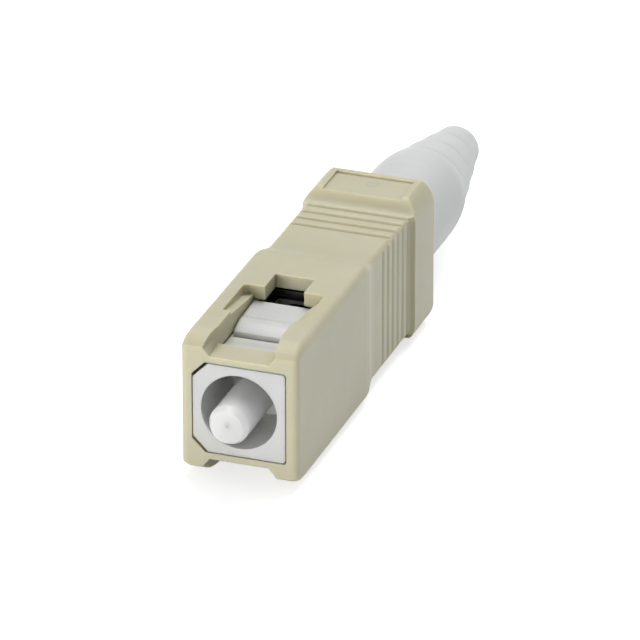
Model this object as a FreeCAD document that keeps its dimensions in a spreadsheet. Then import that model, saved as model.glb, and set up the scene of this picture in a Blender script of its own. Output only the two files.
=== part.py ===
"""Parametric model of a square push-pull fibre-optic plug, in millimetres.

The plug points along -Y. Its optical axis is the Y axis, and the origin lies on
that axis in the plane of the nose. +Z is up, and the windows face up and down.
Each piece is drawn about the optical axis from its own front face, and its
Placement moves it along the axis to its seat.
"""
import FreeCAD, Part
import math
import os
import re

import Sketcher
from FreeCAD import Vector

# Driving dimensions: alias, value, meaning.
SIZES = [
    ("tip_out", 2.1, "ferrule tip ahead of the nose"),
    ("housing_length", 25.0, "outer housing along the axis"),
    ("housing_width", 7.4, "outer housing across the windows' faces"),
    ("housing_height", 9.0, "outer housing from window face to window face"),
    ("housing_edge", 0.6, "rounding of the long edges"),
    ("nose_corner", 0.45, "rounding of the nose's upright edges"),
    ("nose_edge", 0.5, "rounding of the long edges at the nose"),
    ("nose_drop", 0.6, "height of the nose's rounded lead"),
    ("nose_run", 1.5, "length of the nose's rounded lead"),
    ("lead_in_length", 1.9, "length of the bar over the frame's nose"),
    ("lead_in_floor", 0.4, "thickness of that bar"),
    ("lead_in_flare", 0.3, "widening of the hook channel's rims at its mouth"),
    ("mouth_taper", 0.15, "narrowing of the hook channel's floor at its mouth"),
    ("window_width", 4.0, "window, between its side walls"),
    ("window_end", 8.0, "rear end of the wide window"),
    ("slot_width", 2.5, "narrow rear part of the window"),
    ("slot_end", 9.9, "rear end of the narrow part"),
    ("ledge_start", 4.15, "front end of the release ramps"),
    ("ledge_width", 0.55, "width of each release ramp"),
    ("ledge_front_depth", 0.2, "depth of a release ramp at its front"),
    ("ledge_rear_depth", 0.65, "depth of a release ramp at its rear"),
    ("ledge_corner", 0.4, "rounding of the ledge pocket's rear corners"),
    ("grip_start", 12.4, "where the waist begins"),
    ("grip_run", 2.2, "length of the curved step into the waist"),
    ("grip_side_drop", 0.3, "depth of the waist in each side"),
    ("grip_face_drop", 0.38, "depth of the waist in each window face"),
    ("grip_fall", 0.15, "further fall of the waist towards the scoop"),
    ("waist_edge", 0.5, "rounding of the waist's long edges"),
    ("band_start", 21.15, "front end of the rear band"),
    ("band_height", 9.6, "rear band from face to face"),
    ("band_corner_width", 0.8, "width of the band's corner curve"),
    ("band_corner_height", 1.4, "height of the band's corner curve"),
    ("band_step", 0.3, "curved step from the waist to the band"),
    ("scoop_run", 1.3, "length of the scoop's rising ramp"),
    ("panel_depth", 0.15, "sink of the panel on the band"),
    ("panel_rim", 0.35, "rim that the panel leaves"),
    ("groove_width", 0.46, "width of a grip groove"),
    ("side_groove_depth", 0.1, "depth of a side groove"),
    ("face_groove_depth", 0.16, "depth of a groove in a window face"),
    ("side_groove_first", 16.25, "first groove in the sides"),
    ("side_groove_pitch", 0.92, "distance between side grooves"),
    ("side_groove_count", 6, "grooves in each side"),
    ("face_groove_first", 17.95, "first groove in the window faces"),
    ("face_groove_pitch", 1.0, "distance between face grooves"),
    ("face_groove_count", 4, "grooves in each window face"),
    ("snap_bar_start", 16.7, "bar that stops the frame's ears"),
    ("snap_bar_length", 0.8, "thickness of that bar"),
    ("rear_bore_start", 21.5, "front end of the round bore for the boot"),
    ("polarity_width", 2.0, "width of the polarity rib"),
    ("polarity_height", 0.9, "height of the polarity rib"),
    ("polarity_start", 4.5, "front end of the polarity rib"),
    ("polarity_length", 6.0, "length of the polarity rib"),
    ("polarity_lead", 0.5, "slope at the ends of the polarity rib"),
    ("frame_gap", 0.08, "running gap between frame and housing"),
    ("frame_width", 5.8, "plug frame, side to side"),
    ("frame_height", 5.8, "plug frame, face to face"),
    ("frame_chamfer", 0.95, "chamfers on the polarity side"),
    ("frame_edge", 0.2, "rounding of the frame's other edges"),
    ("chamfer_relief", 0.1, "extra room at the chamfers"),
    ("frame_length", 18.5, "plug frame along the axis"),
    ("sleeve_bore", 4.8, "bore for the adapter's sleeve"),
    ("sleeve_depth", 5.0, "depth of that bore"),
    ("seat_wall", 0.8, "wall that the flange rests on"),
    ("seat_hole", 3.6, "hole in that wall"),
    ("chamber_bore", 4.7, "bore that holds flange and spring"),
    ("chamber_end", 13.9, "rear end of that bore"),
    ("socket_edge", 0.8, "rounding of the socket's edges"),
    ("latch_start", 4.35, "toe of the latch block"),
    ("latch_face", 0.18, "height of the toe's steep face"),
    ("latch_run", 1.3, "length of the latch block's curved toe"),
    ("toe_groove_length", 0.4, "groove ahead of the toe"),
    ("toe_groove_depth", 0.2, "depth of that groove"),
    ("latch_crest", 3.42, "height of the crest above the axis"),
    ("latch_top", 3.52, "height of the shoulder above the axis"),
    ("latch_end", 7.9, "latch shoulder"),
    ("latch_gap", 0.1, "gap between latch block and window wall"),
    ("latch_groove_place", 5.75, "groove across the latch block"),
    ("latch_groove_size", 0.12, "width and depth of that groove"),
    ("hook_pocket_end", 11.0, "rear end of the pocket for the hooks"),
    ("hook_pocket_depth", 0.35, "depth of the pocket for the hooks"),
    ("hook_slot_width", 2.6, "opening from the pocket to the chamber"),
    ("hook_slot_end", 10.5, "rear end of that opening"),
    ("ear_width", 2.0, "stop ears at the frame's rear"),
    ("ear_length", 1.6, "length of a stop ear"),
    ("snap_window_start", 14.4, "windows for the rear body's lugs"),
    ("snap_window_length", 2.1, "length of those windows"),
    ("snap_window_height", 2.4, "height of those windows"),
    ("spline_width", 0.8, "ribs that keep the flange from turning"),
    ("spline_height", 0.4, "height of those ribs"),
    ("float_travel", 2.0, "how far the ferrule can be pushed in"),
    ("part_gap", 0.1, "gap between pieces that sit side by side"),
    ("ferrule_diameter", 2.5, "ferrule"),
    ("ferrule_length", 10.5, "ferrule"),
    ("shank_diameter", 2.1, "the ferrule's rear, inside the flange"),
    ("ferrule_lead", 0.45, "length of the ferrule's front cone"),
    ("ferrule_lead_depth", 0.22, "radial depth of that cone"),
    ("fibre_hole", 0.126, "hole for the bare fibre"),
    ("funnel_diameter", 1.0, "mouth of the funnel at the ferrule's rear"),
    ("funnel_length", 0.9, "length of that funnel"),
    ("flange_diameter", 4.3, "ferrule flange"),
    ("flange_thickness", 1.2, "disc of the flange"),
    ("flange_lead", 0.15, "bevel on the disc"),
    ("hub_diameter", 3.5, "hub behind the disc"),
    ("hub_end", 2.9, "rear shoulder of the hub, the spring's seat"),
    ("tail_diameter", 2.6, "tail inside the spring"),
    ("tail_end", 3.9, "rear end of the tail"),
    ("coated_fibre_hole", 1.0, "bore for the coated fibre"),
    ("notch_depth", 0.3, "notches for the frame's ribs"),
    ("spring_wire", 0.4, "spring wire"),
    ("spring_diameter", 3.3, "spring, middle of the wire"),
    ("spring_turns", 5.0, "turns of the spring"),
    ("liner_diameter", 1.5, "liner tube, outside"),
    ("liner_length", 9.0, "liner tube"),
    ("liner_seat", 0.85, "depth of the liner's seat in the tail"),
    ("plug_width", 4.7, "square plug of the rear body"),
    ("plug_length", 4.5, "length of that plug"),
    ("lug_place", 0.6, "front end of the snap lugs"),
    ("lug_length", 1.7, "length of the snap lugs"),
    ("lug_height", 2.0, "height of the snap lugs"),
    ("lug_ramp", 1.2, "length of a lug's rising slope"),
    ("lug_rise", 0.4, "how far the lugs stand out"),
    ("collar_length", 1.0, "thickness of the collar"),
    ("post_diameter", 3.8, "post that the crimp ring grips"),
    ("post_length", 7.0, "length of the post"),
    ("post_bore", 1.7, "bore of the rear body"),
    ("serration_count", 3, "ring serrations on the post"),
    ("serration_pitch", 1.4, "distance between serrations"),
    ("serration_depth", 0.12, "depth of a serration"),
    ("ring_gap", 0.03, "gap between crimp ring and post"),
    ("ring_wall", 0.4, "wall of the crimp ring"),
    ("ring_start", 0.4, "plain post ahead of the ring"),
    ("ring_cone_length", 0.9, "cone of the crimp ring"),
    ("ring_small_length", 2.2, "ring over the cable's jacket"),
    ("cable_bore", 2.1, "bore for the cable"),
    ("boot_neck_diameter", 5.7, "boot inside the waist"),
    ("boot_neck_length", 4.2, "length of that neck"),
    ("boot_diameter", 6.3, "boot behind the housing"),
    ("boot_lead", 0.4, "bevel between neck and body"),
    ("boot_body_end", 11.9, "where the boot starts to narrow"),
    ("boot_shoulder_length", 2.1, "curved shoulder of the boot"),
    ("boot_ring_diameter", 5.84, "start of the stepped tip"),
    ("boot_ring_count", 3, "steps of the boot's tip"),
    ("boot_ring_step", 0.14, "fall at each step"),
    ("boot_groove_length", 0.3, "groove behind each step"),
    ("boot_groove_depth", 0.14, "depth of that groove below the next ring"),
    ("boot_tip_diameter", 3.0, "rear end of the boot"),
    ("boot_length", 21.2, "boot"),
    ("boot_tip_bevel", 0.3, "bevel at the boot's rear end"),
]
NAMES = [alias for alias, _, _ in SIZES]
WIRE_SIDES = 5               # the wire's section is kept to a few sides
WIRE_CORNERS = [math.radians(360 * (side + 0.5) / WIRE_SIDES) for side in range(WIRE_SIDES)]
LEAD_SHARES = ("0", "0.25", "0.6", "1")    # stations along the nose's lead
# Stations along the step into the waist: share of its run, share of its drop.
WAIST_SHARES = (("0", "0"), ("0.25", "0.125"), ("0.5", "0.5"), ("0.75", "0.875"), ("1", "1"))
BEYOND = "housing_height"    # a length that reaches past every wall

doc = FreeCAD.newDocument("fibre_plug")
sheet = doc.addObject("Spreadsheet::Sheet", "sizes")
for row, (alias, size, meaning) in enumerate(SIZES, start=1):
    sheet.set(f"A{row}", alias)
    sheet.set(f"B{row}", str(size))
    sheet.set(f"C{row}", meaning)
    sheet.setAlias(f"B{row}", alias)
doc.recompute()


def linked(text):
    """The expression with each alias pointing at its cell in the sheet."""
    return re.sub(r"\b(" + "|".join(NAMES) + r")\b", r"sizes.\1", text)


def number(text):
    """The value that an expression has now."""
    return float(sheet.evalExpression(text))


def new_body(name, seat):
    """An empty body whose front face sits at `seat`, measured from the nose."""
    body = doc.addObject("PartDesign::Body", name)
    body.Label = name
    body.setExpression("Placement.Base.y", linked(seat))
    return body


def sketch_on(body, name, plane, place="0"):
    """A sketch on an origin plane of the body, moved to `place` along the plane's axis."""
    sketch = body.newObject("Sketcher::SketchObject", name)
    role = plane + "_Plane"
    support = [item for item in body.Origin.OriginFeatures if item.Role == role][0]
    sketch.AttachmentSupport = (support, [""])
    sketch.MapMode = "FlatFace"
    sign = "-1" if plane == "XZ" else "1"    # the XZ plane's normal points along -Y
    sketch.setExpression("AttachmentOffset.Base.z", linked(f"{sign} * ({place})"))
    return sketch


def hold(sketch, constraints):
    """Adds constraints and ties each to its expression, if it has one."""
    first = sketch.ConstraintCount
    sketch.addConstraint([constraint for constraint, _ in constraints])
    for index, (_, text) in enumerate(constraints):
        if text is not None:
            sketch.setExpression(f"Constraints[{first + index}]", linked(text))


def arc_between(start, end, radius, left):
    """The short arc from start to end with its centre on the left or right of the way."""
    chord = end - start
    lift = math.sqrt(max(radius * radius - chord.Length ** 2 / 4, 0))
    aside = Vector(-chord.y, chord.x, 0).normalize() * (lift if left else -lift)
    centre = (start + end) / 2 + aside
    first, last = (start, end) if left else (end, start)
    angles = [math.atan2(point.y - centre.y, point.x - centre.x) for point in (first, last)]
    if angles[1] < angles[0]:
        angles[1] += 2 * math.pi
    return Part.ArcOfCircle(Part.Circle(centre, Vector(0, 0, 1), radius), *angles)


def outline(sketch, corners):
    """A closed outline. A corner is (across, up), or (across, up, radius, side) where
    an arc leads to the next corner with its centre on that side, left or right."""
    points = [Vector(number(corner[0]), number(corner[1]), 0) for corner in corners]
    ends = []
    constraints = []
    for index, corner in enumerate(corners):
        start, end = points[index], points[(index + 1) % len(points)]
        if len(corner) == 2:
            geometry = sketch.addGeometry(Part.LineSegment(start, end), False)
            ends.append((geometry, 1, 2))
        else:
            left = corner[3] == "left"
            arc = arc_between(start, end, number(corner[2]), left)
            geometry = sketch.addGeometry(arc, False)
            ends.append((geometry, 1, 2) if left else (geometry, 2, 1))
            constraint = Sketcher.Constraint("Radius", geometry, number(corner[2]))
            constraints.append((constraint, corner[2]))
    for index, corner in enumerate(corners):
        geometry, near, far = ends[index]
        following = ends[(index + 1) % len(ends)]
        joint = Sketcher.Constraint("Coincident", geometry, far, following[0], following[1])
        constraints.append((joint, None))
        for kind, text, value in (("DistanceX", corner[0], points[index].x),
                                  ("DistanceY", corner[1], points[index].y)):
            place = Sketcher.Constraint(kind, -1, 1, geometry, near, value)
            constraints.append((place, text))
    hold(sketch, constraints)


def flipped(corners, axis):
    """The same outline on the other side of an axis: 0 flips across, 1 flips up."""
    result = []
    for corner in corners:
        place = list(corner[:2])
        place[axis] = f"-({place[axis]})"
        if len(corner) == 4:
            place += [corner[2], "right" if corner[3] == "left" else "left"]
        result.append(tuple(place))
    return result


def outline_pair(sketch, corners, axis):
    outline(sketch, corners)
    outline(sketch, flipped(corners, axis))


def circle(sketch, radius, across="0", up="0"):
    centre = Vector(number(across), number(up), 0)
    shape = Part.Circle(centre, Vector(0, 0, 1), number(radius))
    geometry = sketch.addGeometry(shape, False)
    hold(sketch, [
        (Sketcher.Constraint("Radius", geometry, number(radius)), radius),
        (Sketcher.Constraint("DistanceX", -1, 1, geometry, 3, centre.x), across),
        (Sketcher.Constraint("DistanceY", -1, 1, geometry, 3, centre.y), up),
    ])


def rectangle(across_low, across_high, up_low, up_high):
    return [(across_low, up_low), (across_high, up_low),
            (across_high, up_high), (across_low, up_high)]


def rounded_rectangle(width, height, radius):
    """Corners of a centred rectangle with rounded corners, anticlockwise."""
    across, up = f"({width}) / 2", f"({height}) / 2"
    inner_across, inner_up = f"({across} - {radius})", f"({up} - {radius})"
    return [
        (f"-{inner_across}", f"-({up})"), (inner_across, f"-({up})", radius, "left"),
        (across, f"-{inner_up}"), (across, inner_up, radius, "left"),
        (inner_across, up), (f"-{inner_across}", up, radius, "left"),
        (f"-({across})", inner_up), (f"-({across})", f"-{inner_up}", radius, "left"),
    ]


def extrude(body, kind, name, sketch, length, symmetric=False):
    """A Pad or Pocket that runs towards the plus side of the sketch's axis."""
    feature = body.newObject("PartDesign::" + kind, name)
    feature.Profile = sketch
    feature.setExpression("Length", linked(length))
    if symmetric:
        feature.SideType = "Symmetric"
    else:
        on_xz = sketch.AttachmentSupport[0][0].Role == "XZ_Plane"
        feature.Reversed = on_xz if kind == "Pad" else not on_xz
    return feature


def turn(body, kind, name, sketch):
    """A Revolution or Groove about the optical axis, the sketch's upright axis."""
    feature = body.newObject("PartDesign::" + kind, name)
    feature.Profile = sketch
    feature.ReferenceAxis = (sketch, ["V_Axis"])
    feature.Angle = 360
    return feature


def fillet(body, name, base, radius, chosen):
    """Rounds the edges of `base` that `chosen` picks."""
    doc.recompute()
    edges = [f"Edge{index}" for index, edge in enumerate(base.Shape.Edges, start=1)
             if chosen(edge)]
    feature = body.newObject("PartDesign::Fillet", name)
    feature.Base = (base, edges)
    feature.setExpression("Radius", linked(radius))
    return feature


def waist_step(drop, run):
    """Radius of the two equal arcs that make a smooth step of that drop and run."""
    return f"((({run}) * ({run}) + ({drop}) * ({drop})) / (4 * ({drop})))"


def rounded_lead(drop, run):
    """Radius of an arc that leaves one face flat and drops that much over that run."""
    return f"((({run}) * ({run}) + ({drop}) * ({drop})) / (2 * ({drop})))"


def frame_section(gap, relief):
    """The plug frame's outline in (x, z), or the aperture around it, with the
    chamfers on the -X side, where the polarity rib is."""
    across = f"(frame_width / 2 + {gap})"
    up = f"(frame_height / 2 + {gap})"
    cut = f"(frame_chamfer - {relief})"
    return [
        (f"-{across} + {cut}", f"-{up}"),
        (f"{across} - frame_edge", f"-{up}", "frame_edge", "left"),
        (across, f"-{up} + frame_edge"),
        (across, f"{up} - frame_edge", "frame_edge", "left"),
        (f"{across} - frame_edge", up),
        (f"-{across} + {cut}", up),
        (f"-{across}", f"{up} - {cut}"),
        (f"-{across}", f"-{up} + {cut}"),
    ]


def groove_row(sketch, row, surface, depth, axis):
    """V-shaped grooves side by side along the optical axis, in a surface on both
    sides of it. `surface` gives the surface's height at a place."""
    half = "groove_width / 2"
    for index in range(int(number(f"{row}_count"))):
        middle = f"({row}_first + {index} * {row}_pitch)"
        height = surface(middle)
        groove = [(f"{middle} - {half}", height), (middle, f"{height} - {depth}"),
                  (f"{middle} + {half}", height), (middle, f"{height} + {depth}")]
        if axis == 0:
            groove = [(up, along) for along, up in groove]
        outline_pair(sketch, groove, axis)


def make_outer_housing():
    """The moulded coupling housing, the same above and below the axis."""
    body = new_body("outer_housing", "0")
    half_width, half_height = "housing_width / 2", "housing_height / 2"
    band_half = "band_height / 2"

    # The nose's rounded lead, a straight run, and the step of all four faces into
    # the waist. A station is (place, width, height, edge rounding).
    low = f"({half_height} - grip_face_drop)"
    scoop_low = f"({low} - grip_fall)"
    waist = f"({half_width} - grip_side_drop)"
    lead = rounded_lead("nose_drop", "nose_run")
    stations = []
    for share in LEAD_SHARES:
        rest = f"(nose_run * (1 - {share}))"
        height = f"({half_height} - {lead} + sqrt({lead} * {lead} - {rest} * {rest})) * 2"
        edge = f"nose_edge + (housing_edge - nose_edge) * {share}"
        stations.append((f"nose_run * {share}", "housing_width", height, edge))
    for share, fall in WAIST_SHARES:
        stations.append((f"grip_start + grip_run * {share}",
                         f"housing_width - 2 * grip_side_drop * {fall}",
                         f"housing_height - 2 * grip_face_drop * {fall}",
                         f"housing_edge - (housing_edge - waist_edge) * {share}"))
    sections = []
    for index, (place, width, height, edge) in enumerate(stations):
        section = sketch_on(body, f"section_{index}", "XZ", place)
        outline(section, rounded_rectangle(width, height, f"({edge})"))
        sections.append(section)
    block = body.newObject("PartDesign::AdditiveLoft", "front_block")
    block.Profile = sections[0]
    block.Sections = sections[1:]
    block.Ruled = True

    # The waist, whose window faces fall towards the scoop.
    waist_start = "(grip_start + grip_run)"
    sketch = sketch_on(body, "waist_section", "XZ", waist_start)
    outline(sketch, rounded_rectangle(f"2 * {waist}", f"2 * {low}", "waist_edge"))
    extrude(body, "Pad", "waist", sketch, f"band_start - {waist_start}")
    sketch = sketch_on(body, "waist_fall", "YZ")
    outline_pair(sketch, [
        (waist_start, low), ("band_start", scoop_low),
        ("band_start", BEYOND), (waist_start, BEYOND)], 1)
    extrude(body, "Pocket", "waist_fall_cut", sketch, BEYOND + " * 2", symmetric=True)

    corner = "band_corner_width"
    rise = "band_corner_height"
    curve = rounded_lead(corner, rise)
    sketch = sketch_on(body, "band_section", "XZ", "band_start")
    outline(sketch, [
        (f"-({half_width} - {corner})", f"-{band_half}"),
        (f"{half_width} - {corner}", f"-{band_half}", curve, "left"),
        (half_width, f"-({band_half} - {rise})"),
        (half_width, f"{band_half} - {rise}", curve, "left"),
        (f"{half_width} - {corner}", band_half),
        (f"-({half_width} - {corner})", band_half, curve, "left"),
        (f"-({half_width})", f"{band_half} - {rise}"),
        (f"-({half_width})", f"-({band_half} - {rise})", curve, "left"),
    ])
    extrude(body, "Pad", "rear_band", sketch, "housing_length - band_start")

    # The finger scoop's ramp from the waist up to the band.
    scoop_rise = f"({band_half} - {scoop_low})"
    scoop_end = "(band_start + scoop_run)"
    sketch = sketch_on(body, "finger_scoop", "YZ")
    outline_pair(sketch, [
        ("band_start", scoop_low, waist_step(scoop_rise, "scoop_run"), "left"),
        ("band_start + scoop_run / 2", f"{scoop_low} + {scoop_rise} / 2",
         waist_step(scoop_rise, "scoop_run"), "right"),
        (scoop_end, band_half),
        (scoop_end, BEYOND),
        ("band_start", BEYOND),
    ], 1)
    extrude(body, "Pocket", "finger_scoop_cut", sketch, BEYOND + " * 2", symmetric=True)

    # Curved step from the waist's sides out to the band.
    sketch = sketch_on(body, "band_steps", "XY")
    outline_pair(sketch, [
        (waist, "band_start", "band_step + grip_side_drop", "right"),
        (half_width, "band_start + band_step"),
        (BEYOND, "band_start + band_step"),
        (BEYOND, "band_start"),
    ], 0)
    extrude(body, "Pocket", "band_step_cut", sketch, BEYOND + " * 2", symmetric=True)

    # The nose's two upright edges.
    sketch = sketch_on(body, "nose_edges", "XY")
    outline_pair(sketch, [
        (f"{half_width} - nose_corner", "0", "nose_corner", "left"),
        (half_width, "nose_corner"),
        (BEYOND, "nose_corner"),
        (BEYOND, "-nose_corner"),
        (f"{half_width} - nose_corner", "-nose_corner"),
    ], 0)
    extrude(body, "Pocket", "nose_edge_cut", sketch, BEYOND + " * 2", symmetric=True)

    # Grip grooves, which run out in the rounding of the long edges.
    def face_height(place):
        return f"({low} - grip_fall * ({place} - {waist_start}) / (band_start - {waist_start}))"

    sketch = sketch_on(body, "side_grooves", "XY")
    groove_row(sketch, "side_groove", lambda place: waist, "side_groove_depth", 0)
    extrude(body, "Pocket", "side_groove_cut", sketch, BEYOND + " * 2", symmetric=True)
    sketch = sketch_on(body, "face_grooves", "YZ")
    groove_row(sketch, "face_groove", face_height, "face_groove_depth", 1)
    extrude(body, "Pocket", "face_groove_cut", sketch, BEYOND + " * 2", symmetric=True)

    # Sunk panel on the band, with a rim at its rear and sides.
    sketch = sketch_on(body, "band_panel", "YZ")
    outline_pair(sketch, rectangle("band_start", "housing_length - panel_rim",
                                   f"{band_half} - panel_depth", BEYOND), 1)
    panel_width = f"housing_width - 2 * {corner} - 2 * panel_rim"
    extrude(body, "Pocket", "band_panel_cut", sketch, panel_width, symmetric=True)

    # Hook channels over the nose, with a floor that leaves the bar. Their walls
    # lean outwards at the mouth and stand upright where the windows begin.
    channel_floor = "(frame_height / 2 + frame_gap + lead_in_floor)"
    half_window = "window_width / 2"
    nose_top = f"({half_height} - nose_drop)"
    for side in ("upper", "lower"):
        sections = []
        for place, foot, top in (
                ("0", f"({half_window} - mouth_taper)", f"({half_window} + lead_in_flare)"),
                ("lead_in_length", f"({half_window})", f"({half_window})")):
            corners = [
                (f"-{foot}", channel_floor), (foot, channel_floor), (top, nose_top),
                (top, BEYOND), (f"-{top}", BEYOND), (f"-{top}", nose_top)]
            if side == "lower":
                corners = flipped(corners, 1)
            section = sketch_on(body, f"hook_channel_{side}_{place}", "XZ", place)
            outline(section, corners)
            sections.append(section)
        channel = body.newObject("PartDesign::SubtractiveLoft", f"hook_channel_{side}")
        channel.Profile = sections[0]
        channel.Sections = sections[1:]
        channel.Ruled = True

    # Windows, cut straight through both faces.
    sketch = sketch_on(body, "windows", "XY")
    half_slot = "slot_width / 2"
    outline(sketch, [
        (f"-({half_window})", "lead_in_length"), (half_window, "lead_in_length"),
        (half_window, "window_end"), (half_slot, "window_end"),
        (half_slot, "slot_end"), (f"-({half_slot})", "slot_end"),
        (f"-({half_slot})", "window_end"), (f"-({half_window})", "window_end"),
    ])
    extrude(body, "Pocket", "window_cut", sketch, BEYOND + " * 2", symmetric=True)

    # Release ramps: ledges beside each window that sink towards the rear.
    sketch = sketch_on(body, "release_ramps", "YZ")
    outline_pair(sketch, [
        ("ledge_start", f"{half_height} - ledge_front_depth"),
        ("window_end", f"{half_height} - ledge_rear_depth"),
        ("window_end", BEYOND),
        ("ledge_start", BEYOND),
    ], 1)
    ledge_span = "window_width + 2 * ledge_width"
    ramps = extrude(body, "Pocket", "release_ramp_cut", sketch, ledge_span, symmetric=True)
    doc.recompute()
    half_span, rear = number(ledge_span) / 2, number("window_end")

    def is_ledge_corner(edge):
        ends = [vertex.Point for vertex in edge.Vertexes]
        return all(abs(abs(point.x) - half_span) < 1e-6 and abs(point.y - rear) < 1e-6
                   for point in ends)

    fillet(body, "ledge_corners", ramps, "ledge_corner", is_ledge_corner)

    # Inside: the frame's aperture from end to end, the channels that the latch
    # blocks and stop ears run in, parted by the snap bar, and the boot's bore.
    sketch = sketch_on(body, "aperture", "XZ")
    outline(sketch, frame_section("frame_gap", "chamfer_relief"))
    extrude(body, "Pocket", "aperture_cut", sketch, "housing_length")
    channel_half = f"({half_window} - latch_gap + frame_gap)"
    channel_top = "(latch_top + frame_gap)"
    for name, start, end in (
            ("front_run", "lead_in_length", "snap_bar_start"),
            ("rear_run", "snap_bar_start + snap_bar_length", "housing_length")):
        sketch = sketch_on(body, name, "XZ", start)
        outline(sketch, rectangle(f"-{channel_half}", channel_half,
                                  f"-{channel_top}", channel_top))
        extrude(body, "Pocket", name + "_cut", sketch, f"{end} - ({start})")
    sketch = sketch_on(body, "rear_bore", "XZ", "rear_bore_start")
    circle(sketch, "boot_diameter / 2 + 2 * part_gap")
    extrude(body, "Pocket", "rear_bore_cut", sketch, "housing_length - rear_bore_start")

    # Polarity rib on the -X side.
    sketch = sketch_on(body, "polarity_rib", "XY")
    outline(sketch, [
        (f"-({half_width} - part_gap)", "polarity_start"),
        (f"-({half_width} - part_gap)", "polarity_start + polarity_length"),
        (f"-({half_width})", "polarity_start + polarity_length"),
        (f"-({half_width} + polarity_height)",
         "polarity_start + polarity_length - polarity_lead"),
        (f"-({half_width} + polarity_height)", "polarity_start + polarity_lead"),
        (f"-({half_width})", "polarity_start"),
    ])
    body.Tip = extrude(body, "Pad", "polarity_rib_pad", sketch, "polarity_width", symmetric=True)
    return body


def make_plug_frame():
    """The white inner frame, with a latch block above and below."""
    body = new_body("plug_frame", "0")
    half = "frame_height / 2"
    sketch = sketch_on(body, "frame_outline", "XZ")
    outline(sketch, frame_section("0", "0"))
    extrude(body, "Pad", "frame_block", sketch, "frame_length")

    # Latch blocks, each behind a shallow groove: a steep face, a curved toe, a
    # crest, a fine groove and the sharp shoulder.
    latch_width = "window_width - 2 * latch_gap"
    groove_floor = f"({half} - toe_groove_depth)"
    sketch = sketch_on(body, "toe_grooves", "YZ")
    outline_pair(sketch, rectangle("latch_start - toe_groove_length", "latch_start",
                                   groove_floor, BEYOND), 1)
    extrude(body, "Pocket", "toe_groove_cut", sketch, latch_width, symmetric=True)
    toe = rounded_lead(f"latch_crest - ({half} + latch_face)", "latch_run")
    sketch = sketch_on(body, "latch_profile", "YZ")
    outline_pair(sketch, [
        ("latch_start", f"{half} - part_gap"),
        ("latch_end", f"{half} - part_gap"),
        ("latch_end", "latch_top"),
        ("latch_groove_place + latch_groove_size", "latch_crest"),
        ("latch_groove_place", "latch_crest - latch_groove_size"),
        ("latch_groove_place", "latch_crest"),
        ("latch_start + latch_run", "latch_crest", toe, "left"),
        ("latch_start", f"{half} + latch_face"),
    ], 1)
    extrude(body, "Pad", "latch_blocks", sketch, latch_width, symmetric=True)

    # Pocket behind each shoulder for the hooks' tips, open to the chamber.
    sketch = sketch_on(body, "hook_pockets", "YZ")
    outline_pair(sketch, rectangle("latch_end", "hook_pocket_end",
                                   f"{half} - hook_pocket_depth", BEYOND), 1)
    extrude(body, "Pocket", "hook_pocket_cut", sketch, latch_width, symmetric=True)
    sketch = sketch_on(body, "hook_slots", "XY")
    outline(sketch, rectangle("-hook_slot_width / 2", "hook_slot_width / 2",
                              "latch_end", "hook_slot_end"))
    extrude(body, "Pocket", "hook_slot_cut", sketch, BEYOND + " * 2", symmetric=True)

    # Stop ears that rest against the housing's snap bar.
    ear_end = "(snap_bar_start - part_gap)"
    sketch = sketch_on(body, "ear_profile", "YZ")
    outline_pair(sketch, [
        (f"{ear_end} - ear_length", f"{half} - part_gap"),
        (ear_end, f"{half} - part_gap"),
        (ear_end, "latch_top"),
        (f"{ear_end} - ear_length / 2", "latch_top"),
        (f"{ear_end} - ear_length", half),
    ], 1)
    extrude(body, "Pad", "stop_ears", sketch, "ear_width", symmetric=True)

    # Bores, from the front: sleeve bore, seat hole, chamber, square socket.
    seat_end = "(sleeve_depth + seat_wall)"
    for name, start, end, diameter in (
            ("sleeve_bore", "0", "sleeve_depth", "sleeve_bore"),
            ("seat_hole", "sleeve_depth", seat_end, "seat_hole"),
            ("chamber", seat_end, "chamber_end", "chamber_bore")):
        sketch = sketch_on(body, name + "_circle", "XZ", start)
        circle(sketch, f"{diameter} / 2")
        extrude(body, "Pocket", name + "_cut", sketch, f"{end} - {start}")
    socket_width = "(plug_width + 2 * part_gap)"
    sketch = sketch_on(body, "socket", "XZ", "chamber_end")
    outline(sketch, rounded_rectangle(socket_width, socket_width, "socket_edge"))
    extrude(body, "Pocket", "socket_cut", sketch, "frame_length - chamber_end")

    # Windows in the sides for the rear body's lugs.
    sketch = sketch_on(body, "snap_windows", "YZ")
    outline(sketch, rectangle("snap_window_start", "snap_window_start + snap_window_length",
                              "-snap_window_height / 2", "snap_window_height / 2"))
    extrude(body, "Pocket", "snap_window_cut", sketch, BEYOND + " * 2", symmetric=True)

    # Ribs in the chamber that fit the flange's notches.
    sketch = sketch_on(body, "spline_section", "XZ", f"{seat_end} - part_gap")
    outline_pair(sketch, rectangle("chamber_bore / 2 - spline_height",
                                   "frame_width / 2 - 2 * part_gap",
                                   "-spline_width / 2", "spline_width / 2"), 0)
    body.Tip = extrude(body, "Pad", "splines", sketch,
                       "part_gap + flange_thickness + float_travel")
    return body


def make_ferrule():
    """The ceramic ferrule: front cone, fibre hole, rear funnel and a stepped shank."""
    body = new_body("ferrule", "-tip_out")
    outer = "ferrule_diameter / 2"
    shoulder = f"({FLANGE_SEAT} + tip_out)"
    sketch = sketch_on(body, "ferrule_profile", "XY")
    outline(sketch, [
        ("fibre_hole / 2", "0"),
        (f"{outer} - ferrule_lead_depth", "0"),
        (outer, "ferrule_lead"),
        (outer, shoulder),
        ("shank_diameter / 2", shoulder),
        ("shank_diameter / 2", "ferrule_length"),
        ("funnel_diameter / 2", "ferrule_length"),
        ("fibre_hole / 2", "ferrule_length - funnel_length"),
    ])
    body.Tip = turn(body, "Revolution", "ferrule_turned", sketch)
    return body


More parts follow.
